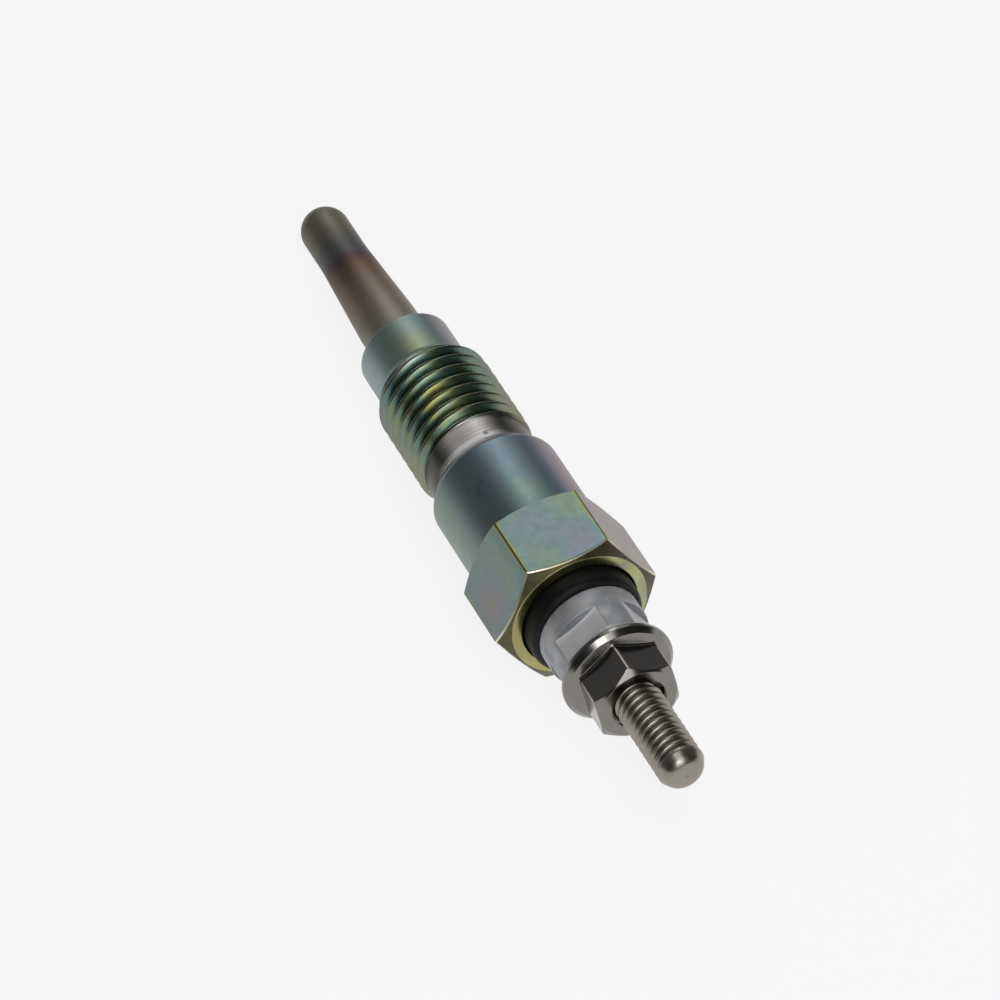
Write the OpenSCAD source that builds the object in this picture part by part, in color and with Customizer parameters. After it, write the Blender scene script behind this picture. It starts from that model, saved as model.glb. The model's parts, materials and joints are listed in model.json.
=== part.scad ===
// Diesel glow plug with a metal heater sheath, an M10 housing and an M4 terminal stud.
// Each piece is drawn on the plug's own axis: z = 0 is the front face of the housing nose,
// the heater tip lies below it and the terminal above. laid() then puts the plug down as it
// rests on a table, on a flat of its hexagon and the first crest of its thread.

/* [Heater sheath] */
// Length of sheath that stands out of the housing
heater_len = 18.85; // [16:0.05:24]
// Sheath diameter where it enters the housing
sheath_d = 5.14; // [4.8:0.01:5.4]
// Diameter of the swaged tip
tip_d = 4.2; // [3.8:0.01:4.4]
// Length of the swaged tip, dome included
tip_len = 6.2; // [4:0.1:8]
// Straight run of sheath in front of the housing
sheath_run = 3.7; // [2:0.1:6]
// Length of sheath pressed into the housing
sheath_seat = 14; // [10:0.5:16]
// Wall of the sheath
sheath_wall = 0.45; // [0.35:0.05:0.6]
// Thickness of metal at the closed tip
tip_wall = 0.9; // [0.6:0.1:1.4]

/* [Heater inside] */
// Outer diameter of both coils
coil_d = 2.2; // [1.8:0.05:2.4]
// Wire diameter of the heating coil
heating_wire_d = 0.34; // [0.25:0.01:0.4]
// Wire diameter of the control coil
control_wire_d = 0.28; // [0.2:0.01:0.35]
// Length of the heating coil
heating_coil_len = 7; // [5:0.5:8]
// Turns of the heating coil
heating_turns = 9; // [6:1:11]
// Turns of the control coil
control_turns = 10; // [6:1:13]
// Room left round the coil wires in the packed powder
coil_room = 0.05; // [0.02:0.01:0.1]
// Depth of powder between the heating coil and the closed tip
tip_powder = 0.2; // [0.1:0.05:0.5]
// Length of the rubber seal in the mouth of the sheath
seal_len = 2.5; // [1.5:0.1:4]

/* [Housing] */
// Diameter of the nose
nose_d = 7.95; // [7.5:0.05:8.4]
// Length of the nose
nose_len = 4.25; // [3:0.05:6]
// Length of the conical seat between nose and thread
seat_len = 1.5; // [0.8:0.05:1.8]
// Outer diameter of the housing thread
thread_d = 9.88; // [9.6:0.01:10]
// Pitch of the housing thread
thread_pitch = 1.25; // [1:0.25:1.25]
// Length of the housing thread
thread_len = 8.8; // [6:0.05:10]
// Diameter of the relief groove behind the thread
relief_d = 9.2; // [8.6:0.05:9.4]
// Length of the relief groove
relief_len = 2.35; // [1.5:0.05:4]
// Length of the sloped shoulder up to the shank
shoulder_len = 1.3; // [0.8:0.1:2]
// Diameter of the shank
shank_d = 11; // [10.4:0.1:11.3]
// Length of the shank
shank_len = 8.3; // [6:0.1:12]
// Hexagon width across flats
hex_af = 12; // [11.8:0.1:13]
// Length of the hexagon
hex_len = 7.45; // [5.5:0.05:9]
// Diameter of the flat ring on each end of the hexagon
hex_face_d = 11.4; // [11.3:0.1:11.7]
// Slope of the chamfers on the hexagon corners
hex_chamfer = 30; // [20:1:40]
// Bore round the centre rod
rod_bore_d = 6; // [5.6:0.1:6.4]
// Counterbore in the hexagon face
socket_d = 9.6; // [8.9:0.02:10]
// Depth of the counterbore
socket_depth = 3.9; // [3:0.1:4.5]

/* [Centre rod] */
// Rod diameter inside the heater sheath
rod_tip_d = 2.5; // [2.2:0.1:2.8]
// Rod diameter through the housing and under the nuts
rod_d = 3.5; // [3.3:0.05:3.6]
// Length of rod inside the sheath mouth
rod_reach = 13; // [9:0.5:13.5]
// Length of the slope between the two rod diameters
rod_slope = 1; // [0.5:0.1:2]
// Outer diameter of the terminal thread
stud_d = 3.87; // [3.8:0.01:3.98]
// Pitch of the terminal thread
stud_pitch = 0.7; // [0.5:0.05:0.75]
// Length of terminal thread beyond the nut
stud_len = 8.45; // [6:0.05:12]
// Length of the end chamfer of the stud
stud_chamfer = 1.05; // [0.3:0.05:1.2]
// Diameter of the stud's end face
stud_face_d = 2.8; // [2.4:0.05:3.4]

/* [Terminal insulator] */
// Height of the insulating bush above the hexagon face
bush_proud = 1.65; // [1.2:0.05:3]
// Round on the outer edge of the bush
bush_round = 0.6; // [0.3:0.1:0.9]
// Diameter of the bush's neck in the rod bore
bush_neck_d = 5.9; // [5.2:0.05:5.95]
// Length of the bush's neck
bush_neck_len = 4; // [3:0.1:6]

/* [Nuts] */
// Diameter of the round collar of the pinch nut
pinch_d = 8.44; // [8.2:0.02:8.7]
// Length of the pinch nut
pinch_len = 4.55; // [4:0.05:6]
// Length of the round collar that the crimp leaves
collar_len = 2; // [1.2:0.1:3]
// Width across opposite crimped flats of the pinch nut
crimp_af = 7.3; // [7.1:0.05:8]
// Chamfer on the outer end of the pinch nut
pinch_chamfer = 0.25; // [0.1:0.05:0.4]
// Turn of the four crimped flats from the upright
crimp_turn = 27.6; // [0:0.1:90]
// Diameter of the flange of the terminal nut
flange_d = 9.3; // [8.6:0.1:10]
// Diameter of the flange where it bears on the pinch nut
flange_foot_d = 7.8; // [7.7:0.05:8.4]
// Height of the slope under the flange, from its foot out to its rim
flange_lift = 0.5; // [0.2:0.05:0.6]
// Height of the flange at its rim
flange_rim = 1.25; // [1.2:0.05:1.5]
// Bevel on the upper edge of the rim
flange_bevel = 0.4; // [0.2:0.05:0.5]
// Height of the slope from the rim up to the nut's hexagon
flange_slope = 0.75; // [0.4:0.05:1.2]
// Diameter where the slope ends, inside the hexagon
flange_top_d = 6; // [5.4:0.1:6.2]
// Terminal nut width across flats
nut_af = 6.6; // [6.4:0.1:7.2]
// Height of the terminal nut
nut_h = 4.6; // [3.8:0.1:5.4]
// Slope of the chamfer on the nut's outer corners
nut_chamfer = 30; // [20:1:40]
// Diameter of the flat ring on the nut's outer end
nut_face_d = 6.3; // [5.8:0.1:6.5]
// Diameter of the countersink in the nut's outer end
nut_sink_d = 4.6; // [4.2:0.1:5.2]
// Turn of the nut's corners from the upright
nut_turn = 4.6; // [0:0.1:60]

/* [Fits] */
// Radial room between pieces that are pressed, crimped or screwed together
fit_gap = 0.02; // [0.01:0.01:0.05]
// Radial room round the bush in its counterbore
bush_gap = 0.05; // [0.03:0.01:0.1]

/* [Hidden] */
$fn = 96;

// ISO thread form: flat crests and roots as shares of the pitch, with flanks at 30 degrees
crest_share = 1 / 8;
root_share = 1 / 4;
flank_angle = 30;

// Cutting tools run this far past the faces that they cut through
past = 1;

// Places along the plug's axis
tip_z = -heater_len;
thread_z = nose_len + seat_len;
relief_z = thread_z + thread_len;
shoulder_z = relief_z + relief_len;
shank_z = shoulder_z + shoulder_len;
hex_z = shank_z + shank_len;
face_z = hex_z + hex_len;
socket_z = face_z - socket_depth;
bush_z = face_z + bush_proud;
nut_z = bush_z + pinch_len;
nut_top_z = nut_z + nut_h;
stud_end_z = nut_top_z + stud_len;
rod_tip_z = sheath_seat - rod_reach;
seal_z = sheath_seat - seal_len;

// Sheath: the taper runs from the straight run in front of the nose to the swaged tip
taper_z = tip_z + tip_len;
core_tip_z = tip_z + tip_wall;
core_d = sheath_d - 2 * sheath_wall;
core_tip_d = tip_d - 2 * sheath_wall;

// Coils: the heating coil starts at the tip, and the control coil fills the rest up to the rod
coil_r = coil_d / 2;
heating_z = core_tip_z + core_tip_d / 2 + tip_powder - coil_r / 2;
control_z = heating_z + heating_coil_len;

// O-ring: squeezed between the bush's neck and the counterbore
o_ring_d = (socket_d - bush_neck_d) / 2 - 2 * fit_gap;
bush_seat_z = socket_z + o_ring_d + 2 * fit_gap;

// Rest on a table: the far edge of a hexagon flat and the first thread crest touch it together
flat_edge_z = hex_z + (hex_af - hex_face_d) / 2 * tan(hex_chamfer);
rest_tilt = atan((hex_af - thread_d) / 2 / (flat_edge_z - thread_z));
rest_lift = hex_af / 2 * cos(rest_tilt) - flat_edge_z * sin(rest_tilt);
tip_x = (tip_z + tip_d / 2) * cos(rest_tilt) - tip_d / 2;
terminal_x = stud_end_z * cos(rest_tilt) + stud_face_d / 2 * sin(rest_tilt);

// The plug as it lies, with the origin on the table below the middle of its length
module laid() {
    translate([-(tip_x + terminal_x) / 2, 0, rest_lift])
        rotate([0, 90 - rest_tilt, 0])
            children();
}

// Whole ridges that fit in a length of thread
function ridge_count(pitch, length) = floor(length / pitch);

// Radius and height of each point of a row of thread ridges, from the first crest at height z
function ridges(d, pitch, count, z) =
    let (crest = pitch * crest_share, root = pitch * root_share, flank = (pitch - crest - root) / 2)
    let (root_r = d / 2 - flank / tan(flank_angle))
    [
        for (i = [0 : count - 1])
            each [
                [d / 2, z + pitch * i],
                [d / 2, z + pitch * i + crest],
                [root_r, z + pitch * i + crest + flank],
                [root_r, z + pitch * i + crest + flank + root]
            ]
    ];

// Turned outline: a list of radius and height points, closed along the axis
module turned(points) {
    first_z = points[0][1];
    last_z = points[len(points) - 1][1];
    rotate_extrude()
        polygon(concat([[0, first_z]], points, [[0, last_z]]));
}

module bore(d, from_z, to_z) {
    translate([0, 0, from_z])
        cylinder(d = d, h = to_z - from_z);
}

// Hexagon with a corner on the x axis, turned about the plug's axis
module hexagon(af, from_z, to_z, turn) {
    translate([0, 0, from_z])
        rotate([0, 0, turn])
            cylinder(d = af / cos(30), h = to_z - from_z, $fn = 6);
}

// Hexagon whose corners are turned down at both ends to round faces of diameter face_d
module chamfered_hexagon(af, face_d, slope, from_z, to_z, turn) {
    turned_d = af / cos(30) + past;
    cut = (turned_d - face_d) / 2 * tan(slope);
    intersection() {
        hexagon(af, from_z, to_z, turn);
        turned([
            [face_d / 2, from_z],
            [turned_d / 2, from_z + cut],
            [turned_d / 2, to_z - cut],
            [face_d / 2, to_z]
        ]);
    }
}

// Straight helix of round wire between two heights
module wire_coil(wire_d, from_z, to_z, turns) {
    steps_per_turn = 14;
    wire_sides = 6;
    steps = turns * steps_per_turn;
    mean_r = coil_r - wire_d / 2;
    rise = to_z - from_z - wire_d;
    points = [
        for (i = [0 : steps], k = [0 : wire_sides - 1])
            let (around = 360 * i / steps_per_turn, side = 360 * k / wire_sides)
            let (r = mean_r + wire_d / 2 * cos(side))
            let (z = from_z + wire_d / 2 * (1 + sin(side)) + rise * i / steps)
            [r * cos(around), r * sin(around), z]
    ];
    function at(i, k) = i * wire_sides + k % wire_sides;
    start_cap = [for (k = [0 : wire_sides - 1]) at(0, k)];
    end_cap = [for (k = [wire_sides - 1 : -1 : 0]) at(steps, k)];
    walls = [
        for (i = [0 : steps - 1], k = [0 : wire_sides - 1])
            [at(i, k), at(i + 1, k), at(i + 1, k + 1), at(i, k + 1)]
    ];
    polyhedron(points = points, faces = concat([start_cap], walls, [end_cap]), convexity = turns);
}

// Turned steel housing: nose, seat, thread, relief groove, shank and hexagon in one piece
module body() {
    color("#9aa89a") laid() difference() {
        union() {
            turned(concat(
                [[nose_d / 2, 0], [nose_d / 2, nose_len]],
                ridges(thread_d, thread_pitch, ridge_count(thread_pitch, thread_len), thread_z),
                [[relief_d / 2, relief_z], [relief_d / 2, shoulder_z]],
                [[shank_d / 2, shank_z], [shank_d / 2, hex_z + past]]
            ));
            chamfered_hexagon(hex_af, hex_face_d, hex_chamfer, hex_z, face_z, 30);
        }
        bore(sheath_d + 2 * fit_gap, -past, sheath_seat);
        bore(rod_bore_d, sheath_seat - fit_gap, face_z);
        bore(socket_d, socket_z, face_z + past);
    }
}

// Closed heat-resistant steel tube, swaged thinner at its tip
module heater_sheath() {
    color("#6f665c") laid() difference() {
        sheath_form(tip_d, tip_z, sheath_d, sheath_seat);
        sheath_form(core_tip_d, core_tip_z, core_d, sheath_seat + past);
    }
}

// Round-ended outline shared by the sheath and the core inside it
module sheath_form(end_d, end_z, mouth_d, mouth_z) {
    translate([0, 0, end_z + end_d / 2])
        sphere(d = end_d);
    turned([
        [end_d / 2, end_z + end_d / 2],
        [end_d / 2, taper_z],
        [mouth_d / 2, -sheath_run],
        [mouth_d / 2, mouth_z]
    ]);
}

// Iron alloy coil that glows at the tip
module heating_coil() {
    color("#8a8f96") laid()
        wire_coil(heating_wire_d, heating_z, control_z, heating_turns);
}

// Nickel coil that limits the current
module control_coil() {
    color("#b8b8b0") laid()
        wire_coil(control_wire_d, control_z, rod_tip_z, control_turns);
}

// Packed magnesium oxide round the coils and the rod, with the channel that the coils lie in
module insulating_powder() {
    wire_d = max(heating_wire_d, control_wire_d);
    color("#e8e6df") laid() difference() {
        intersection() {
            sheath_form(core_tip_d - 2 * fit_gap, core_tip_z + fit_gap, core_d - 2 * fit_gap, sheath_seat);
            bore(sheath_d, tip_z, seal_z);
        }
        difference() {
            bore(coil_d + 2 * coil_room, heating_z - coil_room, rod_tip_z);
            bore(coil_d - 2 * (wire_d + coil_room), heating_z - past, rod_tip_z + past);
        }
        bore(rod_tip_d + 2 * fit_gap, rod_tip_z - fit_gap, seal_z + past);
    }
}

// Rubber plug that keeps damp out of the powder
module sheath_seal() {
    color("#3b3b3e") laid() difference() {
        bore(core_d - 2 * fit_gap, seal_z, sheath_seat);
        bore(rod_tip_d + 2 * fit_gap, seal_z - past, sheath_seat + past);
    }
}

// Steel conductor from the control coil to the terminal, with the terminal thread on its outer end
module centre_rod() {
    last_crest_z = stud_end_z - stud_chamfer - stud_pitch * crest_share;
    ridge_total = ridge_count(stud_pitch, last_crest_z - nut_top_z);
    color("#a8a49c") laid()
        turned(concat(
            [[rod_tip_d / 2, rod_tip_z], [rod_tip_d / 2, sheath_seat + rod_slope]],
            [[rod_d / 2, sheath_seat + 2 * rod_slope], [rod_d / 2, nut_top_z]],
            ridges(stud_d, stud_pitch, ridge_total, last_crest_z - ridge_total * stud_pitch),
            [[stud_d / 2, last_crest_z], [stud_d / 2, stud_end_z - stud_chamfer]],
            [[stud_face_d / 2, stud_end_z]]
        ));
}

// Rubber ring that seals the counterbore below the bush
module o_ring() {
    mean_r = (socket_d + bush_neck_d) / 4;
    color("#1d1d1f") laid()
        translate([0, 0, socket_z + fit_gap + o_ring_d / 2])
            rotate_extrude()
                translate([mean_r, 0])
                    circle(d = o_ring_d);
}

// Black moulded bush: flange in the counterbore, neck in the rod bore, rounded outer edge
module insulating_bush() {
    flange_r = socket_d / 2 - bush_gap;
    color("#151517") laid() difference() {
        union() {
            bore(bush_neck_d, bush_seat_z - bush_neck_len, bush_z);
            bore(2 * flange_r, bush_seat_z, bush_z - bush_round);
            bore(2 * (flange_r - bush_round), bush_seat_z, bush_z);
            translate([0, 0, bush_z - bush_round])
                rotate_extrude()
                    translate([flange_r - bush_round, 0])
                        circle(r = bush_round);
        }
        bore(rod_d + 2 * fit_gap, bush_seat_z - bush_neck_len - past, bush_z + past);
    }
}

// Aluminium nut, round when new and crimped onto the stud from four sides
module pinch_nut() {
    collar_z = bush_z + collar_len;
    crimp_h = pinch_len + 2 * past;
    color("#b9bec4") laid() difference() {
        turned([
            [pinch_d / 2, bush_z],
            [pinch_d / 2, nut_z - pinch_chamfer],
            [pinch_d / 2 - pinch_chamfer, nut_z]
        ]);
        difference() {
            bore(pinch_d + past, collar_z, nut_z + past);
            rotate([0, 0, crimp_turn])
                translate([-crimp_af / 2, -crimp_af / 2, collar_z - past])
                    cube([crimp_af, crimp_af, crimp_h]);
        }
        bore(rod_d + 2 * fit_gap, bush_z - past, nut_z + past);
    }
}

// Plated hexagon nut with a round flange, tightened down on the pinch nut
module terminal_nut() {
    slope_z = nut_z + flange_rim + flange_slope;
    sink_depth = (nut_sink_d - rod_d) / 2;
    color("#aaa69e") laid() difference() {
        union() {
            turned([
                [flange_foot_d / 2, nut_z],
                [flange_d / 2, nut_z + flange_lift],
                [flange_d / 2, nut_z + flange_rim - flange_bevel],
                [flange_d / 2 - flange_bevel, nut_z + flange_rim],
                [flange_top_d / 2, slope_z]
            ]);
            chamfered_hexagon(nut_af, nut_face_d, nut_chamfer, nut_z, nut_top_z, nut_turn);
        }
        bore(rod_d + 2 * fit_gap, nut_z - past, nut_top_z + past);
        turned([
            [rod_d / 2, nut_top_z - sink_depth],
            [nut_sink_d / 2, nut_top_z],
            [nut_sink_d / 2, nut_top_z + past]
        ]);
    }
}

body();
heater_sheath();
heating_coil();
control_coil();
insulating_powder();
sheath_seal();
centre_rod();
o_ring();
insulating_bush();
pinch_nut();
terminal_nut();
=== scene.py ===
import json
import math

import bmesh
import bpy
from mathutils import Matrix, Vector


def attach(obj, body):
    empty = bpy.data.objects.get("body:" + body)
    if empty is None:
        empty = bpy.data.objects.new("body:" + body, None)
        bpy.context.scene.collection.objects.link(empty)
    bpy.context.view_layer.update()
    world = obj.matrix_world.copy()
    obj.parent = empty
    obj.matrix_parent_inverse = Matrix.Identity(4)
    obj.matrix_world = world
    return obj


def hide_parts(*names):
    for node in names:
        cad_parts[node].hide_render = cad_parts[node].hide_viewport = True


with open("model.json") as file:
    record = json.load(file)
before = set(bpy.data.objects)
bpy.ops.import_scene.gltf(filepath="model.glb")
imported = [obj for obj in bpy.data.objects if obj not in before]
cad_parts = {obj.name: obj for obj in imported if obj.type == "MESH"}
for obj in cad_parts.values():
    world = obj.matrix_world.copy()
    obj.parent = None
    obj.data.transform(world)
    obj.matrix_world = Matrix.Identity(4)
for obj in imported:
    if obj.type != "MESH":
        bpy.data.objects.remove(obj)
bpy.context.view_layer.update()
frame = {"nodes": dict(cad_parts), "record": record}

# Heating coil and control coil: an iron alloy wire and a nickel wire, each wound on a mandrel
# and joined end to end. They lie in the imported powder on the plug's axis, on which every other
# piece is turned, so the axis is taken from the stud and the nose's front face here.
MM = 0.001
COIL_D = 2.2
nodes = frame["nodes"]
mounts = {mount["name"]: mount for mount in frame["record"]["mounts"]}
axis = Vector(mounts["terminal_stud"]["axis"]).normalized()
across = Vector((0, 1, 0))
upright = axis.cross(across)
stud_point = Vector(mounts["terminal_stud"]["pos_m"])
nose_run = min(vertex.co.dot(axis) for vertex in nodes["body"].data.vertices) - stud_point.dot(axis)
nose = stud_point + axis * nose_run
plug = Matrix.Translation(nose) @ Matrix((upright, -across, axis)).transposed().to_4x4()


def reach(node):
    """Lowest and highest place of a CAD node along the axis, in mm from the nose's front face."""
    places = [(vertex.co - nose).dot(axis) / MM for vertex in nodes[node].data.vertices]
    return min(places), max(places)


class Value:
    """One socket of a node tree: arithmetic on it adds Math nodes, and node() makes any other node."""

    def __init__(self, tree, socket=None):
        self.tree = tree
        self.socket = socket

    def node(self, kind, settings=(), sockets=(), out=0):
        made = self.tree.nodes.new(kind)
        for name, setting in dict(settings).items():
            if name == "stops":
                points = made.color_ramp.elements
                while len(points) < len(setting):
                    points.new(1)
                for point, (place, colour) in zip(points, setting):
                    point.position = place
                    point.color = colour
            else:
                setattr(made, name, setting)
        for key, given in dict(sockets).items():
            if isinstance(given, Value):
                self.tree.links.new(given.socket, made.inputs[key])
            else:
                made.inputs[key].default_value = given
        return Value(self.tree, made.outputs[out]) if made.outputs else None

    def out(self, key):
        return Value(self.tree, self.socket.node.outputs[key])

    def math(self, operation, *others):
        return self.node("ShaderNodeMath", {"operation": operation}, enumerate((self, *others)))

    def ease(self, low, high):
        ends = {"Value": self, "From Min": low, "From Max": high}
        return self.node("ShaderNodeMapRange", {"interpolation_type": "SMOOTHSTEP"}, ends)

    def tint(self, low, high, how="MIX"):
        settings = {"data_type": "RGBA", "blend_type": how}
        return self.node("ShaderNodeMix", settings, {0: self, 6: low, 7: high}, out=2)

    def __add__(self, other):
        return self.math("ADD", other)

    def __sub__(self, other):
        return self.math("SUBTRACT", other)

    def __rsub__(self, other):
        return self.math("MULTIPLY_ADD", -1, other)

    def __mul__(self, other):
        return self.math("MULTIPLY", other)

    def __truediv__(self, other):
        return self.math("DIVIDE", other)

    def __rtruediv__(self, other):
        return self.math("POWER", -1) * other

    __radd__ = __add__
    __rmul__ = __mul__


def paint(code):
    """Colour of a hex code, as Blender's linear values."""
    parts = [int(code[i:i + 2], 16) / 255 for i in (0, 2, 4)]
    return [p / 12.92 if p < 0.04045 else ((p + 0.055) / 1.055) ** 2.4 for p in parts] + [1]


def new_finish(name):
    """New material, and the spot of a surface point on the plug: in mm, from the nose's front face."""
    material = bpy.data.materials.new(name)
    material.use_nodes = True
    material.node_tree.nodes.clear()
    place = Value(material.node_tree).node("ShaderNodeTexCoord", out="Object")
    sockets = {"Vector": place, "Location": nose, "Rotation": plug.to_euler(), "Scale": (MM, MM, MM)}
    return material, place.node("ShaderNodeMapping", {"vector_type": "TEXTURE"}, sockets)


def surface(spot, **sockets):
    """Principled surface of the spot's material, with each socket given by its name in lower case."""
    named = {key.replace("_", " ").title().replace("Ior", "IOR"): given for key, given in sockets.items()}
    shader = spot.node("ShaderNodeBsdfPrincipled", (), named)
    spot.node("ShaderNodeOutputMaterial", (), {"Surface": shader})


def noise(spot, scale, detail=3.0, stretch=(1, 1, 1)):
    """Soft noise from 0 to 1 with the given number of spots to a mm, stretched along the plug's axes."""
    drawn = spot.node("ShaderNodeVectorMath", {"operation": "MULTIPLY"}, {0: spot, 1: stretch})
    return spot.node("ShaderNodeTexNoise", (), {"Vector": drawn, "Scale": scale, "Detail": detail})


def node_tree(name, sizes):
    """Geometry tree with named inputs for its sizes, and the node of those inputs."""
    tree = bpy.data.node_groups.new(name, "GeometryNodeTree")
    tree.interface.new_socket("Geometry", in_out="OUTPUT", socket_type="NodeSocketGeometry")
    tree.interface.new_socket("Geometry", in_out="INPUT", socket_type="NodeSocketGeometry")
    for size in sizes:
        tree.interface.new_socket(size, in_out="INPUT", socket_type="NodeSocketFloat")
    tree.interface.new_socket("Material", in_out="INPUT", socket_type="NodeSocketMaterial")
    return tree, Value(tree).node("NodeGroupInput")


def close_tree(given, shape):
    """Ends a geometry tree with plain geometry that carries its material."""
    real = given.node("GeometryNodeRealizeInstances", (), {"Geometry": shape})
    coated = given.node("GeometryNodeSetMaterial", (), {"Geometry": real, "Material": given.out("Material")})
    given.node("NodeGroupOutput", (), {"Geometry": coated})


def work(piece, tree, **sizes):
    """Runs a geometry tree on a piece and keeps the result as its plain mesh."""
    modifier = piece.modifiers.new(tree.name, "NODES")
    modifier.node_group = tree
    named = {key.replace("_", " ").capitalize(): size for key, size in sizes.items()}
    for item in tree.interface.items_tree:
        if item.in_out == "INPUT" and item.name in named:
            modifier[item.identifier] = named[item.name]
    graph = bpy.context.evaluated_depsgraph_get()
    solid = piece.evaluated_get(graph)
    mesh = bpy.data.meshes.new_from_object(solid, preserve_all_data_layers=True, depsgraph=graph)
    piece.modifiers.remove(modifier)
    piece.data = mesh


def new_object(name, data):
    """New object with a mesh, a lamp or a camera in it, linked to the scene."""
    made = bpy.data.objects.new(name, data)
    bpy.context.scene.collection.objects.link(made)
    return made


def fit(piece, node, lift=0):
    """Puts a piece that was made upright on the axis in its place on the plug, for its CAD node."""
    piece.data.transform(plug @ Matrix.Translation((0, 0, lift * MM)))
    piece.data.shade_smooth()
    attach(piece, "root")
    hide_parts(node)


def drawn_wire(name, code):
    """Finish of a drawn wire: bright metal, clouded by faint marks from the die."""
    material, spot = new_finish(name)
    marks = noise(spot, 9)
    bright = paint(code)
    dark = [part * 0.8 for part in bright[:3]] + [1]
    surface(spot, base_color=marks.tint(dark, bright), metallic=1, roughness=0.3 + 0.15 * marks)
    return material


winding, given = node_tree("wound wire", ["Turns", "Coil radius", "Wire radius", "Length"])
coil_line = given.node("GeometryNodeCurveSpiral", (), {
    "Resolution": 28,
    "Rotations": given.out("Turns"),
    "Start Radius": given.out("Coil radius"),
    "End Radius": given.out("Coil radius"),
    "Height": given.out("Length"),
})
wire_round = given.node("GeometryNodeCurvePrimitiveCircle", (), {
    "Resolution": 12,
    "Radius": given.out("Wire radius"),
})
wire = given.node("GeometryNodeCurveToMesh", (), {
    "Curve": coil_line,
    "Profile Curve": wire_round,
    "Fill Caps": True,
})
close_tree(given, wire)
COILS = (
    ("heating_coil", "heating_wire", 9, 0.34, "b4b4b8"),
    ("control_coil", "control_wire", 10, 0.28, "c8c6bf"),
)
for coil, slot, turns, wire_d, code in COILS:
    low, high = reach(coil)
    piece = new_object("wound_" + coil, bpy.data.meshes.new("wound_" + coil))
    work(
        piece, winding, turns=turns, coil_radius=(COIL_D - wire_d) / 2 * MM, wire_radius=wire_d / 2 * MM,
        length=(high - low - wire_d) * MM, material=drawn_wire(slot, code),
    )
    fit(piece, coil, low + wire_d / 2)

# Insulating powder: magnesium oxide, poured round the coils and packed hard when the sheath is
# swaged. It is white and chalky, with fine grains.


def coat(piece, material):
    """Gives a piece one material in place of any other."""
    piece.data.materials.clear()
    piece.data.materials.append(material)


def bumps(height, strength, depth):
    """Normal of a surface with bumps of the given height from 0 to 1, and a depth in mm."""
    return height.node("ShaderNodeBump", (), {
        "Height": height, "Strength": strength, "Distance": depth * MM,
    })


material, spot = new_finish("packed_oxide")
grains = noise(spot, 6, 6)
chalk = grains.tint(paint("d9d6cd"), paint("f2f0ea"))
surface(spot, base_color=chalk, roughness=0.9, normal=bumps(grains, 0.4, 0.03))
coat(nodes["insulating_powder"], material)

# Sheath seal: a moulded rubber plug in the mouth of the sheath, which keeps damp out of the
# powder. It is matt and dark grey.
material, spot = new_finish("seal_rubber")
bloom = noise(spot, 1.5, 5)
surface(spot, base_color=bloom.tint(paint("2b2b2d"), paint("434347")), roughness=0.65 + 0.2 * bloom)
coat(nodes["sheath_seal"], material)

# Heater sheath: a closed tube of heat-resistant alloy, swaged thinner towards its domed tip and
# pressed into the nose. Test firing has left it dark at the tip, with a blue ring behind that and
# bronze fading to warm grey at the nose.
tip_z, mouth_z = reach("heater_sheath")
swage_z = tip_z + 6.2
TUBE_Z = -3.7
TIP_R = 2.1
TUBE_R = 2.57
SHEATH_WALL = 0.45
TIP_WALL = 0.9
HOLD_GAP = 0.02


def rounded(corners):
    """Rows of an outline whose corners (radius, height, fillet) get an arc and a holding row each side."""
    count = len(corners)
    points = [Vector(corner[:2]) for corner in corners]
    ways = [(points[(i + 1) % count] - points[i]) for i in range(count)]
    cuts = []
    for i in range(count):
        bend = math.pi - (-ways[i - 1]).angle(ways[i])
        cuts.append((corners[i][2] * math.tan(bend / 2), bend))
    rows = []
    for i, (point, (cut, bend)) in enumerate(zip(points, cuts)):
        fillet = corners[i][2]
        if fillet == 0:
            rows.append(point)
            continue
        back = -ways[i - 1].normalized()
        on = ways[i].normalized()
        spare = min(HOLD_GAP, max(0, ways[i - 1].length - cut - cuts[i - 1][0]) / 3)
        rows.append(point + back * (cut + spare))
        steps = round(3 + 5 * fillet)
        if bend > 1e-4:
            centre = point + (back + on).normalized() * fillet / math.cos(bend / 2)
            first = point + back * cut - centre
            last = point + on * cut - centre
            for k in range(steps + 1):
                t = k / steps
                arm = first * math.sin((1 - t) * bend) + last * math.sin(t * bend)
                rows.append(centre + arm / math.sin(bend))
        else:
            rows.extend([point] * (steps + 1))
        spare = min(HOLD_GAP, max(0, ways[i].length - cut - cuts[(i + 1) % count][0]) / 3)
        rows.append(point + on * (cut + spare))
    return rows


def turned(name, outline, angles, ring=True):
    """Mesh turned about the axis: outline(angle) gives the rows at each angle; a ring has a bore."""
    columns = [outline(angle) for angle in angles]
    around = len(angles)
    count = len(columns[0])
    points = []
    for row in range(count):
        for angle, column in zip(angles, columns):
            radius, height = column[row]
            points.append((radius * math.cos(angle) * MM, radius * math.sin(angle) * MM, height * MM))
    faces = []
    for row in range(count if ring else count - 1):
        low = row * around
        high = (row + 1) % count * around
        for i in range(around):
            j = (i + 1) % around
            faces.append((low + i, low + j, high + j, high + i))
    mesh = bpy.data.meshes.new(name)
    mesh.from_pydata(points, [], faces)
    joined = bmesh.new()
    joined.from_mesh(mesh)
    bmesh.ops.remove_doubles(joined, verts=joined.verts, dist=1e-7)
    joined.to_mesh(mesh)
    joined.free()
    return new_object(name, mesh)


def even(count):
    """Column angles of a round piece, at even steps."""
    return [2 * math.pi * i / count for i in range(count)]


def split(spot):
    """Parts of a spot across the plug (x and y) and along its axis (z)."""
    x = spot.node("ShaderNodeSeparateXYZ", (), {0: spot})
    return x, x.out("Y"), x.out("Z")


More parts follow.
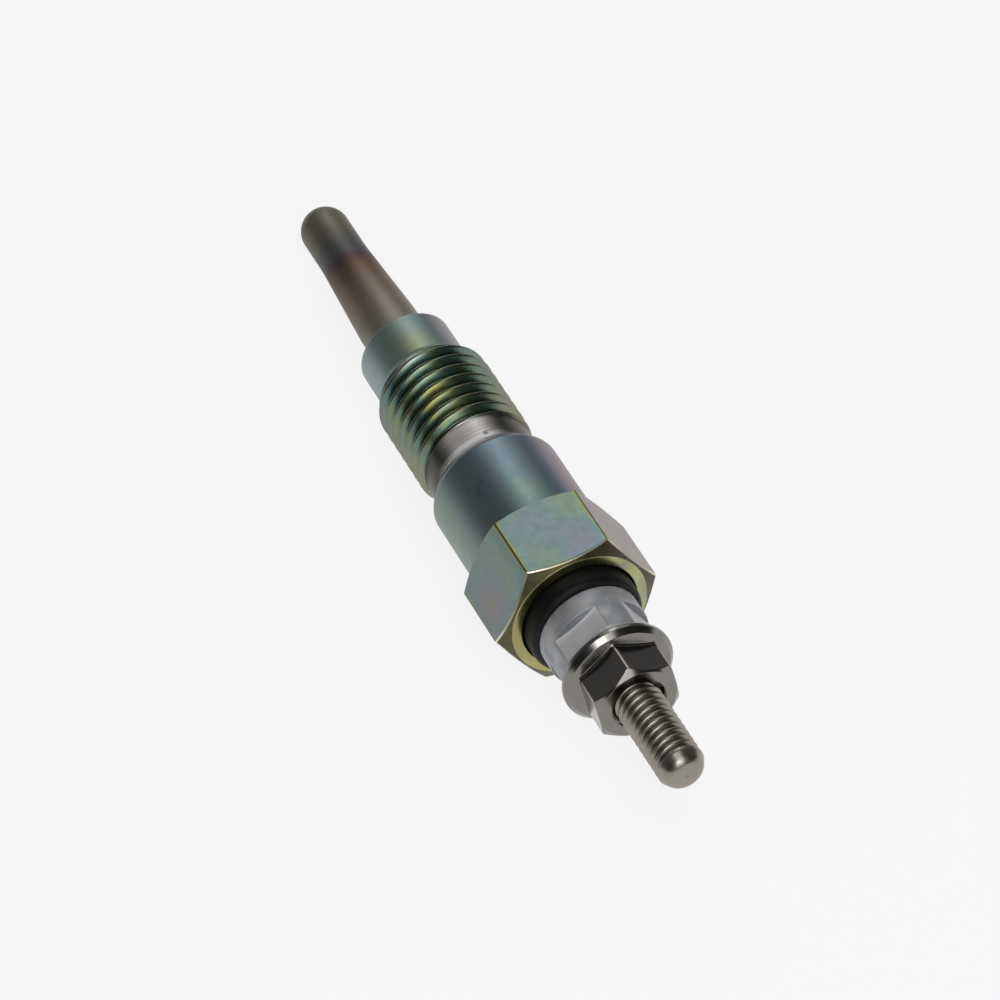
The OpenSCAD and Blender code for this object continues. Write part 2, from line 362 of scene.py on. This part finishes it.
SHEATH = rounded([
    (0, tip_z, 0),
    (TIP_R, tip_z, TIP_R),
    (TIP_R, swage_z, 4),
    (TUBE_R, TUBE_Z, 6),
    (TUBE_R, mouth_z, 0.1),
    (TUBE_R - SHEATH_WALL, mouth_z, 0.05),
    (TUBE_R - SHEATH_WALL, TUBE_Z, 0),
    (TIP_R - SHEATH_WALL, swage_z, 0),
    (TIP_R - SHEATH_WALL, tip_z + TIP_WALL, TIP_R - SHEATH_WALL),
    (0, tip_z + TIP_WALL, 0),
])
material, spot = new_finish("heat_tinted_sheath")
y, z = split(spot)[1:]
blotches = noise(spot, 0.35, 4)
streaks = noise(spot, 1.2, 4, (1, 1, 0.15))
heated_z = z + 2.6 * (blotches - 0.5) + 1.2 * (streaks - 0.5)
heat = spot.node("ShaderNodeValToRGB", {"stops": [
    (0.0, paint("827e70")),
    (0.16, paint("827e70")),
    (0.3, paint("74726a")),
    (0.38, paint("646469")),
    (0.43, paint("655456")),
    (0.48, paint("796356")),
    (0.6, paint("897869")),
    (0.75, paint("94887b")),
    (0.92, paint("9b968d")),
    (1.0, paint("9e9d96")),
]}, {"Fac": (heated_z - tip_z) / -tip_z})
# Painted shade: the sheath's left side is darkened towards near black.
left_painted_shade = 0.35 * y.ease(0.91, 2.34)
alloy = left_painted_shade.tint(heat, paint("1c1a18"))
drawn_lines = noise(spot, 14, 2, (1, 1, 0.02))
rough = 0.46 + 0.14 * blotches
surface(spot, base_color=alloy, metallic=1, roughness=rough, normal=bumps(drawn_lines, 0.12, 0.02))
sheath = turned("swaged_sheath", lambda angle: SHEATH, even(96), ring=False)
coat(sheath, material)
fit(sheath, "heater_sheath")

# Centre rod: a steel conductor, thin inside the sheath and thicker through the housing. Its outer
# end is the terminal stud, with a rolled thread, a rounded lead and a small lathe-centre mark.
rod_z, stud_end_z = reach("centre_rod")
nut_top_z = reach("terminal_nut")[1]
stud_start_z = nut_top_z - 0.5
lead_z = stud_end_z - 1.13
stud_r = mounts["terminal_stud"]["dims"]["r_mm"]
CORE_R = 1.25
ROD_R = 1.75
END_R = 1.4
MARK_R = 0.16
MARK_DEPTH = 0.12
THREAD_SIZES = [
    "Pitch", "Crest radius", "Depth", "Crest", "Rounding", "First crest", "Start", "End", "End radius",
]


def polar(x, y):
    """Distance from the axis, and the angle round it in radians."""
    return (x * x + y * y).math("SQRT"), y.math("ARCTAN2", x)


def cut_thread():
    """Tree that cuts a right-hand thread into a turned blank, and marks the groove's depth."""
    tree, given = node_tree("cut thread", THREAD_SIZES)
    x, y, z = split(given.node("GeometryNodeInputPosition"))
    radius, angle = polar(x, y)
    pitch = given.out("Pitch")
    share = ((z - given.out("First crest")) / pitch - angle / (2 * math.pi)).math("FRACT")
    off_crest = (0.5 - (share - 0.5).math("ABSOLUTE")) * pitch
    slope = (off_crest - given.out("Crest") / 2) / math.tan(math.radians(30))
    depth = given.out("Depth")
    soft = given.out("Rounding")
    drop = slope.math("SMOOTH_MIN", depth, soft).math("SMOOTH_MAX", 0.0, soft)
    run_out = given.out("End radius") - (given.out("End") - z)
    cut = (given.out("Crest radius") - drop).math("MAXIMUM", run_out)
    share_left = radius.math("MINIMUM", cut) / radius
    moved = given.node("ShaderNodeCombineXYZ", (), {"X": x * share_left, "Y": y * share_left, "Z": z})
    inside = z.math("GREATER_THAN", given.out("Start")) * z.math("LESS_THAN", given.out("End"))
    marked = given.node("GeometryNodeStoreNamedAttribute", {"data_type": "FLOAT", "domain": "POINT"}, {
        "Geometry": given, "Name": "groove", "Value": inside * drop / depth,
    })
    shaped = given.node("GeometryNodeSetPosition", (), {
        "Geometry": marked, "Selection": inside, "Position": moved,
    })
    close_tree(given, shaped)
    return tree


def steps_between(low, high, step):
    """Even places from low to high, about a step apart."""
    count = max(1, round((high - low) / step))
    return [low + (high - low) * i / count for i in range(count + 1)]


def groove_mark(spot):
    """Depth in a thread's groove that its tree has marked, from 0 on the crest to 1 at the root."""
    return spot.node("ShaderNodeAttribute", {"attribute_name": "groove"}, out="Fac")


ROD = rounded([
    (0, rod_z, 0),
    (CORE_R, rod_z, 0.1),
    (CORE_R, mouth_z + 1, 0.4),
    (ROD_R, mouth_z + 2, 0.4),
    (ROD_R, stud_start_z, 0),
])
stud_rows = steps_between(stud_start_z + 0.02, lead_z - 0.02, 0.032)
ROD += [(min(stud_r, ROD_R + height - stud_start_z), height) for height in stud_rows]
ROD += rounded([
    (stud_r, lead_z, 0),
    (stud_r, lead_z + 0.08, 0.4),
    (END_R, stud_end_z, 1.0),
    (MARK_R, stud_end_z, 0.03),
    (0, stud_end_z - MARK_DEPTH, 0),
])
material, spot = new_finish("rod_steel")
film = noise(spot, 0.8, 4)
# Painted shade in the thread's roots, mottled by the film's noise; the same mask also roughens the roots.
root_shade = groove_mark(spot).ease(0.55, 1.0) * (0.35 + 0.5 * film)
steel = root_shade.tint(film.tint(paint("8d887f"), paint("9e998f")), paint("4a443c"))
rough = 0.24 + 0.12 * film + 0.15 * root_shade
rolled = bumps(noise(spot, 7, 3, (1, 1, 2.5)), 0.1, 0.02)
surface(spot, base_color=steel, metallic=1, roughness=rough, normal=rolled)
thread_tree = cut_thread()
rod = turned("threaded_rod", lambda angle: ROD, even(96), ring=False)
work(
    rod, thread_tree, pitch=0.7 * MM, crest_radius=stud_r * MM, depth=0.379 * MM, crest=0.15 * MM,
    rounding=0.1 * MM, first_crest=(lead_z - 0.1) * MM, start=stud_start_z * MM, end=lead_z * MM,
    end_radius=stud_r * MM, material=material,
)
fit(rod, "centre_rod")

# Housing: one piece of steel, turned with a nose, a conical seat, a rolled M10 thread, a relief
# groove and a shank, with a hexagon at the end. Zinc plating with a chromate film gives it
# interference colours, from olive and green to teal, blue, lavender and pink.
face_z = reach("body")[1]
hex_z = face_z - 7.45
socket_z = face_z - 3.9
crest_r = mounts["engine_thread"]["dims"]["r_mm"]
SHEATH_HOLE_R = 2.59
NOSE_R = 3.975
SEAT_Z = 4.25
SEAT_RUN = 1.5
FIRST_CREST_Z = 5.78
THREAD_END_Z = 14.45
RUN_OUT_SLOPE = 1.1
RELIEF_R = 4.6
SHOULDER_Z = 16.9
SHANK_Z = 18.2
SHANK_R = 5.5
HEX_HALF = 6.0
HEX_CORNER = 0.12
FACE_R = 5.7
SOCKET_R = 4.8
SOCKET_CHAMFER = 0.15
ROD_HOLE_R = 3


def hexagon(half, corner, turn, angle):
    """Radius at an angle of a hexagon with rounded corners, whose flat's middle is at angle turn."""
    off = abs((angle - turn + math.pi / 6) % (math.pi / 3) - math.pi / 6)
    reach_out = (half - corner) / math.cos(math.pi / 6)
    if math.tan(off) * half <= reach_out / 2:
        return half / math.cos(off)
    side = math.pi / 6 - off
    return reach_out * math.cos(side) + math.sqrt(corner ** 2 - (reach_out * math.sin(side)) ** 2)


def hexagon_angles(half, corner, turn, step):
    """Column angles for a hexagon: even ones on each flat, and a close group at each rounded corner."""
    edge = math.degrees(math.atan((half - corner) * math.tan(math.pi / 6) / half))
    flat_edge = edge - 0.5
    count = round(2 * flat_edge / step)
    flat = [flat_edge * (2 * i / count - 1) for i in range(count + 1)]
    bend = [edge, (2 * edge + 30) / 3, (edge + 60) / 3]
    side = [-30.0] + [-b for b in reversed(bend)] + flat + bend
    return [turn + math.radians(60 * k + a) for k in range(6) for a in side]


def housing_outline(angle):
    """Outline at an angle, from the hole for the sheath over the outside to the hole for the rod."""
    corner = hexagon(HEX_HALF, HEX_CORNER, 0, angle)
    cut = (corner - FACE_R) * math.tan(math.radians(30))
    rows = rounded([
        (SHEATH_HOLE_R, mouth_z, 0),
        (SHEATH_HOLE_R, 0, 0.05),
        (NOSE_R, 0, 0.15),
        (NOSE_R, SEAT_Z - 0.05, 0),
        (NOSE_R, SEAT_Z, 0),
    ])
    for height in steps_between(SEAT_Z + 0.04, THREAD_END_Z, 0.045):
        seat = NOSE_R + (height - SEAT_Z) * (crest_r - NOSE_R) / SEAT_RUN
        run_out = RELIEF_R + (THREAD_END_Z - height) * RUN_OUT_SLOPE
        rows.append((min(crest_r, seat, run_out), height))
    rows += rounded([
        (RELIEF_R, THREAD_END_Z + 0.02, 0),
        (RELIEF_R, SHOULDER_Z, 0.7),
        (SHANK_R, SHANK_Z, 0.35),
        (SHANK_R, hex_z, 0.06),
        (FACE_R, hex_z, 0.04),
        (corner, hex_z + cut, 0.08),
        (corner, face_z - cut, 0.26),
        (FACE_R, face_z, 0.06),
        (SOCKET_R + SOCKET_CHAMFER, face_z, 0.04),
        (SOCKET_R, face_z - SOCKET_CHAMFER, 0.04),
        (SOCKET_R, socket_z, 0.05),
        (ROD_HOLE_R, socket_z, 0.05),
        (ROD_HOLE_R, mouth_z, 0),
    ])
    return rows


material, spot = new_finish("housing_plating")
x, y, z = split(spot)


def patch(turn, radius, height, size):
    """Soft round patch on the housing: 1 at its middle, falling to 0 at its size in mm."""
    way = math.radians(turn)
    middle = (radius * math.cos(way), radius * math.sin(way), height)
    gap = spot.node("ShaderNodeVectorMath", {"operation": "DISTANCE"}, {0: spot, 1: middle}, out="Value")
    return gap.ease(size, 0)


# Zones round the housing, across each flat of the hexagon and along the axis
DEGREE = math.pi / 180
CAMERA_TURN = 16
FLAT_HALF_WIDTH = 3.46
FLAT_HALF_LENGTH = 3.72
radius, angle = polar(x, y)
turn = angle / DEGREE
off_camera = (turn - CAMERA_TURN) * DEGREE
leftward = off_camera.math("SINE")
side_on = off_camera.math("COSINE")
off_flat = ((turn + 30).math("FLOORED_MODULO", 60) - 30) * DEGREE
along_flat = (radius * off_flat.math("SINE")).math("ABSOLUTE")
to_flat = radius * off_flat.math("COSINE")
past_seat = z.ease(4.6, 5.6)
past_thread = z.ease(14.2, 14.6)
past_relief = z.ease(17.4, 18.0)
past_shank = z.ease(hex_z - 0.05, hex_z + 0.05)
on_nose = 1 - past_seat
on_thread = past_seat * (1 - past_thread)
on_relief = past_thread * (1 - past_relief)
on_shank = past_relief * (1 - past_shank)
on_face = z.ease(face_z - 0.04, face_z - 0.02)
on_side = past_shank * (1 - on_face)
to_end = ((z - (hex_z + face_z) / 2) / FLAT_HALF_LENGTH).math("ABSOLUTE")
to_border = (along_flat / FLAT_HALF_WIDTH).math("MAXIMUM", to_end)
groove = groove_mark(spot)

# Thickness of the film, which gives its colour
blotch = noise(spot, 0.3, 4)
mottle = noise(spot, 1.6, 6)
thick_nose = (
    0.42 + 0.1 * leftward.ease(0.1, 0.6) + 0.08 * leftward.ease(-0.2, -0.5)
    + 0.28 * leftward.ease(-0.6, -0.85) - 0.22 * patch(-1, NOSE_R, 3.5, 2.4)
)
thick_thread = (
    0.33 + 0.1 * z.ease(9, 6) + 0.18 * (1 - side_on) + 0.65 * (noise(spot, 0.8, 2) - 0.5)
    - 0.14 * patch(11, 4.6, 10, 1.8) - 0.14 * patch(7, 4.6, 12.3, 1.8)
)
thick_relief = 0.9 + 0.1 * side_on
thick_shank = (
    0.57 - 0.15 * leftward.ease(0.6, 0.85) + 0.06 * leftward.ease(-0.4, -0.7)
    + 0.2 * leftward.ease(-0.74, -0.88) - 0.11 * patch(-6, SHANK_R, 24.8, 4)
)
thick_flat = (
    0.47 + 0.43 * turn.ease(-29.5, -30.5) + 0.26 * patch(-14, 6.18, 31.7, 3.2)
    + 0.12 * patch(8, 6, 30.2, 3.4) + 0.34 * patch(74, 6.18, 30.9, 3.4)
    + 0.4 * (blotch - 0.5) - 0.3 * to_border.ease(0.84, 1.0)
)
thick_face = (
    0.15 - 0.11 * leftward.ease(0.3, 0.9) + 0.05 * leftward.ease(-0.2, -0.9)
    + 0.7 * leftward.ease(-0.6, -0.95) * mottle.ease(0.52, 0.62)
)
thickness = (
    on_nose * thick_nose + on_thread * thick_thread + on_relief * thick_relief + on_shank * thick_shank
    + on_side * thick_flat + on_face * thick_face + 0.3 * (blotch - 0.5) + 0.14 * (mottle - 0.5)
)
rainbow = spot.node("ShaderNodeValToRGB", {"stops": [
    (0.0, paint("8a7744")),
    (0.12, paint("98944e")),
    (0.24, paint("8b9a6a")),
    (0.36, paint("7c9684")),
    (0.48, paint("70918f")),
    (0.6, paint("73899a")),
    (0.72, paint("858699")),
    (0.84, paint("95838f")),
    (0.94, paint("9b8b82")),
    (1.0, paint("9d957e")),
]}, {"Fac": thickness})

# Haze over the film, paler on the nose, a pale tan painted reflection at the thread's sides as seen from the
# camera, and painted shade in its roots
haze = (
    0.25 + 0.1 * on_side - 0.12 * on_thread + 0.3 * on_side * leftward.ease(0.3, 0.6)
    - 0.2 * on_side * leftward.ease(-0.6, -0.75)
    + 0.4 * on_shank * leftward.ease(0, 0.5)
)
film = haze.tint(rainbow, paint("81867f"))
film = (0.32 * on_nose).tint(film, paint("b2bdb6"))
# Painted shade: the hexagon's flats, all but those on the left, are darkened.
film = (on_side * leftward.ease(0.45, 0.3)).tint(film, (0.85, 0.84, 0.82, 1), "MULTIPLY")
# Painted reflection: the thread's sides, as seen from the camera, turn pale tan, more so towards the relief.
side_painted_reflection = on_thread * (1 - side_on).ease(0.2, 0.7) * (0.35 + 0.4 * z.ease(8, 13))
film = side_painted_reflection.tint(film, paint("9f9a84"))
film = on_thread.tint(film, (0.82, 0.82, 0.8, 1), "MULTIPLY")
# Painted shade in the thread's roots.
film = (on_thread * 0.65 * groove.ease(0.6, 0.95)).tint(film, paint("26241f"))

# Relief, dull, with a pale turned patch where it faces the camera and at the back, which is partly a painted
# highlight, a near-white painted highlight line by the shoulder, and a painted highlight arc on the edge of
# the seat
rings = noise(spot, 5, 2, (0.02, 0.02, 1.6))
# Turned metal with a painted highlight, facing the camera and at the back
bare_and_highlight = on_relief * leftward.ease(0.55, 0.15) * leftward.ease(-0.75, -0.2)
dull = on_relief.tint(film, mottle.tint(paint("2c2a25"), paint("55524a")))
pale = (bare_and_highlight * (0.15 + 1.35 * rings)).math("MINIMUM", 1).tint(dull, paint("dcd7d4"))
# Painted highlight line by the shoulder
highlight_streak = on_relief * z.ease(16.2, 16.5) * z.ease(17.15, 16.85) * patch(14, RELIEF_R, 16.7, 4)
pale = highlight_streak.tint(pale, paint("f0f0f2"))
# Painted highlight arc on the edge of the seat
arc = z.ease(4.9, 5.3) * z.ease(6.1, 5.8) * patch(28, crest_r, 5.6, 3.4)
pale = (0.7 * arc).tint(pale, paint("d0ccd4"))

# Brown crests, chamfers and corners, a cream painted highlight along the hexagon's near edge, and dark specks
crest = on_thread * groove.ease(0.16, 0.02) * 0.55
on_chamfer = on_side * to_flat.ease(HEX_HALF - 0.03, HEX_HALF - 0.12)
on_corner = on_side * along_flat.ease(3.3, 3.42) * to_flat.ease(HEX_HALF - 0.2, HEX_HALF - 0.1)
brown = (on_chamfer * 0.85 + on_corner * 0.8).math("MINIMUM", 1)
rust = mottle.tint(paint("352b22"), paint("655a38"))
plating = brown.tint(crest.tint(pale, paint("7a6a4a")), rust)
# Painted highlight along the hexagon's near edge, strongest towards its corners
near_edge_highlight = on_side * z.ease(face_z - 1, face_z - 0.8) * (0.4 + 0.6 * along_flat.ease(1.4, 3))
near_edge_highlight *= to_flat.ease(HEX_HALF - 0.12, HEX_HALF - 0.07) * to_flat.ease(HEX_HALF - 0.001, HEX_HALF - 0.015)
plating = near_edge_highlight.tint(plating, paint("e6dfc8"))
specks = noise(spot, 2, 3).ease(0.5, 0.7) * (patch(26, SHANK_R, 21.6, 2.4) + patch(85, 6.5, 31, 1))
pit = patch(-6, 4.65, 16.4, 0.4)
plating = (0.5 * specks + 0.9 * pit).math("MINIMUM", 1).tint(plating, paint("3b3a38"))
# The face is lightened towards pale yellow in blotches of the film, and its left side is lightened as painted
# light.
bright = on_face * (0.6 * blotch.ease(0.3, 0.7)).math("MAXIMUM", 0.3 * leftward.ease(0.2, 0.8))
plating = bright.tint(plating, paint("c4c184"))
turned_lines = rings * (2 * on_relief + 0.35 * on_shank + 0.35 * on_nose)
bump = bumps(turned_lines + 0.25 * mottle - 0.8 * specks - 2 * pit, 0.18, 0.03)
rough = 0.36 + 0.1 * on_nose - 0.1 * on_thread + 0.05 * on_shank - 0.13 * on_face
rough += 0.14 * (mottle - 0.5) + 0.12 * specks
surface(spot, base_color=plating, metallic=1 - 0.65 * bare_and_highlight - 0.35 * highlight_streak, roughness=rough, normal=bump)
housing = turned("plated_housing", housing_outline, hexagon_angles(HEX_HALF, HEX_CORNER, 0, 3))
work(
    housing, thread_tree, pitch=1.25 * MM, crest_radius=crest_r * MM, depth=0.677 * MM, crest=0.156 * MM,
    rounding=0.12 * MM, first_crest=FIRST_CREST_Z * MM, start=(SEAT_Z + 0.01) * MM,
    end=(THREAD_END_Z + 0.01) * MM, end_radius=RELIEF_R * MM, material=material,
)
fit(housing, "body")

# O-ring: a moulded rubber ring, squeezed into the counterbore round the bush's neck, where it seals
# the housing. It is smooth and black.
material, spot = new_finish("ring_rubber")
bloom = noise(spot, 1.2, 4)
surface(spot, base_color=bloom.tint(paint("161617"), paint("242426")), roughness=0.42 + 0.15 * bloom)
coat(nodes["o_ring"], material)

# Insulating bush: a black resin moulding that keeps the rod clear of the housing. Its flange sits
# in the counterbore and stands out of the hexagon with a rounded edge.
neck_z, bush_z = reach("insulating_bush")
flange_z = neck_z + 4
BORE_R = 1.77
NECK_R = 2.95
FLANGE_R = 4.75
BUSH = rounded([
    (BORE_R, bush_z, 0.1),
    (BORE_R, neck_z, 0.1),
    (NECK_R, neck_z, 0.2),
    (NECK_R, flange_z, 0.1),
    (FLANGE_R, flange_z, 0.15),
    (FLANGE_R, bush_z, 0.6),
])
material, spot = new_finish("black_bush")
cloud = noise(spot, 1.1, 4)
dust = noise(spot, 5, 4).ease(0.6, 0.8)
resin = (0.2 * dust).tint(cloud.tint(paint("0d0d0e"), paint("151517")), paint("2c2b29"))
surface(spot, base_color=resin, roughness=0.42 + 0.12 * cloud + 0.2 * dust, ior=1.28)
bush = turned("moulded_bush", lambda angle: BUSH, even(120))
coat(bush, material)
fit(bush, "insulating_bush")

# Pinch nut: a round aluminium nut, screwed down on the bush and crimped onto the stud from four
# sides, which leaves four burnished flats with crescent ledges in front of a round collar. The flats
# carry a painted highlight next to the crescents, and the crescents carry painted shade.
pinch_z, nut_z = reach("pinch_nut")
ledge_z = pinch_z + 2
COLLAR_R = 4.22
CRIMP_HALF = 3.65
CRIMP_BEVEL = 0.25
CRIMP_TURN = math.radians(27.6)
CRIMP_EDGE = math.acos(CRIMP_HALF / COLLAR_R)
QUARTER = math.pi / 2


def pinch_outline(angle):
    """Outline at an angle: round at the collar, and cut back to a flat where the nut is crimped."""
    off = (angle - CRIMP_TURN + QUARTER / 2) % QUARTER - QUARTER / 2
    flat = min(COLLAR_R, CRIMP_HALF / math.cos(off))
    return rounded([
        (BORE_R, nut_z, 0.05),
        (BORE_R, pinch_z, 0.1),
        (COLLAR_R, pinch_z, 0.12),
        (COLLAR_R, ledge_z - 0.1, 0.06),
        (flat, ledge_z + (COLLAR_R - flat) * 0.35 + 0.02, 0.08),
        (flat, nut_z - CRIMP_BEVEL, 0.06),
        (flat - CRIMP_BEVEL, nut_z, 0.05),
    ])


material, spot = new_finish("pinch_aluminium")
x, y, z = split(spot)
smear = noise(spot, 0.7, 4)
brushed = noise(spot, 6, 3, (1, 1, 0.12))
radius, angle = polar(x, y)
off_crimp = (angle - CRIMP_TURN + QUARTER / 2).math("FLOORED_MODULO", QUARTER) - QUARTER / 2
to_crimp = radius * off_crimp.math("COSINE")
crimped = z.ease(ledge_z - 0.12, ledge_z - 0.07) * radius.ease(COLLAR_R - 0.01, COLLAR_R - 0.06)
burnished = crimped * to_crimp.ease(CRIMP_HALF + 0.05, CRIMP_HALF + 0.01)
# Painted shade on the crescents in front of the collar
crescent_shade = crimped * to_crimp.ease(CRIMP_HALF + 0.03, CRIMP_HALF + 0.11)
# Burnished crimp flats, with a painted highlight that is strongest in a band next to the crescents
burnish_and_highlight = burnished * (0.6 + 0.4 * z.ease(ledge_z + 0.7, ledge_z + 0.3))
aluminium = smear.ease(0.3, 0.7).tint(paint("a4a7ab"), paint("c6c8cb"))
aluminium = burnish_and_highlight.tint(aluminium, paint("f0f1f2"))
aluminium = (0.6 * crescent_shade).tint(aluminium, paint("505256"))
rough = 0.54 + 0.14 * smear
bump = bumps(brushed, 0.12, 0.02)
surface(spot, base_color=aluminium, metallic=0.8 - 0.3 * burnished, roughness=rough, normal=bump)
crimp_side = steps_between(-CRIMP_EDGE, CRIMP_EDGE, 0.04)[:-1]
crimp_side += steps_between(CRIMP_EDGE, QUARTER - CRIMP_EDGE, 0.06)[:-1]
pinch_angles = [CRIMP_TURN + QUARTER * k + angle for k in range(4) for angle in crimp_side]
pinch = turned("crimped_pinch_nut", pinch_outline, pinch_angles)
coat(pinch, material)
fit(pinch, "pinch_nut")

# Terminal nut: a cold-formed steel hexagon nut with a round flange, nickel plated and tightened
# down on the pinch nut. It clamps the cable eyelet in use.
rim_z = nut_z + 1.25
NUT_TURN = math.radians(34.6)
NUT_HALF = 3.3
NUT_CORNER = 0.35
NUT_FACE_R = 3.15
CONE_R = 2.3
RIM_R = 4.65
RIM_TOP_R = 4.25
RIM_FOOT_R = 3.9


def nut_outline(angle):
    """Outline at an angle: bore, round flange, and a hexagon that is chamfered at its face."""
    side = hexagon(NUT_HALF, NUT_CORNER, NUT_TURN, angle)
    foot_z = rim_z + (RIM_TOP_R - side) * 0.3
    cut = (side - NUT_FACE_R) * math.tan(math.radians(38))
    return rounded([
        (BORE_R, nut_top_z - (CONE_R - BORE_R), 0.04),
        (BORE_R, nut_z, 0.1),
        (RIM_FOOT_R, nut_z, 0.1),
        (RIM_R, nut_z + 0.5, 0.15),
        (RIM_R, nut_z + 0.85, 0.12),
        (RIM_TOP_R, rim_z, 0.14),
        (side, foot_z, 0.22),
        (side, nut_top_z - cut, 0.07),
        (NUT_FACE_R, nut_top_z, 0.06),
        (CONE_R, nut_top_z, 0.04),
    ])


material, spot = new_finish("nut_plating")
film = noise(spot, 0.6, 4)
nickel = film.tint(paint("7b7874"), paint("8a8782"))
bump = bumps(noise(spot, 4, 3), 0.08, 0.02)
surface(spot, base_color=nickel, metallic=1, roughness=0.14 + 0.08 * film, normal=bump)
nut = turned("flanged_terminal_nut", nut_outline, hexagon_angles(NUT_HALF, NUT_CORNER, NUT_TURN, 2.2))
coat(nut, material)
fit(nut, "terminal_nut")

# Table: a plain white sheet under the plug. The eye and the polished metal see it as white paper,
# and it takes the plug's soft shadow.
TABLE_R = 0.6
WHITE_SHARE = 0.86
sheet = bpy.data.meshes.new("table")
disc = bmesh.new()
bmesh.ops.create_circle(disc, cap_ends=True, segments=96, radius=TABLE_R)
disc.to_mesh(sheet)
disc.free()
table = new_object("table", sheet)
paper = bpy.data.materials.new("white_paper")
paper.use_nodes = True
paper.node_tree.nodes.clear()
ray = Value(paper.node_tree).node("ShaderNodeLightPath", out="Is Camera Ray")
seen = ray.math("MAXIMUM", ray.out("Is Glossy Ray")).math("MAXIMUM", ray.out("Is Transmission Ray"))
matt = ray.node("ShaderNodeBsdfDiffuse", (), {"Color": (0.9, 0.9, 0.9, 1)})
glow = ray.node("ShaderNodeEmission", (), {"Color": (1, 1, 1, 1), "Strength": 1.0})
blend = ray.node("ShaderNodeMixShader", (), {0: WHITE_SHARE * seen, 1: matt, 2: glow})
ray.node("ShaderNodeOutputMaterial", (), {"Surface": blend})
coat(table, paper)

# Light: a large softbox above the tip's side with a brighter strip in it, a tall card in front of
# the terminal with a small lamp in it, and a room that is darker on the camera's side.
AIM_Z = 21.7
middle = nose + axis * AIM_Z * MM
world = bpy.data.worlds.new("studio_room")
bpy.context.scene.world = world
world.use_nodes = True
world.node_tree.nodes.clear()
way = Value(world.node_tree).node("ShaderNodeTexCoord", out="Generated")
ahead = way.node("ShaderNodeVectorMath", {"operation": "DOT_PRODUCT"}, {0: way, 1: axis}, out="Value")
walls = ahead.ease(-0.2, 0.4).tint((0.15, 0.15, 0.15, 1), (0.04, 0.04, 0.04, 1))
room = way.node("ShaderNodeBackground", (), {"Color": walls})
way.node("ShaderNodeOutputWorld", (), {"Surface": room})


def softbox(name, way, distance, width, height, radiance):
    """Area lamp, in metres, that faces the plug from a way given along, across and up the plug."""
    lamp = bpy.data.lights.new(name, "AREA")
    lamp.shape = "RECTANGLE"
    lamp.size = width
    lamp.size_y = height
    lamp.energy = radiance * math.pi * width * height
    box = new_object(name, lamp)
    towards = (axis * way[0] + across * way[1] + upright * way[2]).normalized()
    box.location = middle + towards * distance
    box.rotation_euler = towards.to_track_quat("Z", "Y").to_euler()
    box.visible_camera = False


softbox("main_softbox", (-0.672, 0.3, 0.67), distance=0.6, width=0.42, height=0.55, radiance=0.6)
softbox("strip_lamp", (-0.672, 0.27, 0.69), distance=0.6, width=0.09, height=0.4, radiance=2.0)
softbox("front_card", (0.72, -0.05, 0.69), distance=0.62, width=0.36, height=0.85, radiance=1.9)
softbox("key_lamp", (0.75, -0.12, 0.65), distance=0.6, width=0.15, height=0.15, radiance=5.0)

# Camera: above and to one side of the terminal end, as the photograph was taken.
roll = math.radians(16.15)
lean = math.radians(47.75)
spin = math.radians(56.47)
CAMERA_GAP = 0.4401
SHIFT_LEFT = 0.001183
SHIFT_UP = 0.001297
beside = upright * math.cos(roll) - across * math.sin(roll)
back = axis * math.cos(lean) + beside * math.sin(lean)
along = (axis - back * axis.dot(back)).normalized()
square = back.cross(along)
right = along * math.cos(spin) + square * math.sin(spin)
top = square * math.cos(spin) - along * math.sin(spin)
place = middle + back * CAMERA_GAP - right * SHIFT_LEFT + top * SHIFT_UP
camera_data = bpy.data.cameras.new("camera")
camera_data.sensor_width = 36
camera_data.lens = 200.8
camera = new_object("camera", camera_data)
camera.matrix_world = Matrix.Translation(place) @ Matrix((right, top, back)).transposed().to_4x4()
bpy.context.scene.camera = camera
bpy.context.scene.view_settings.view_transform = "Standard"
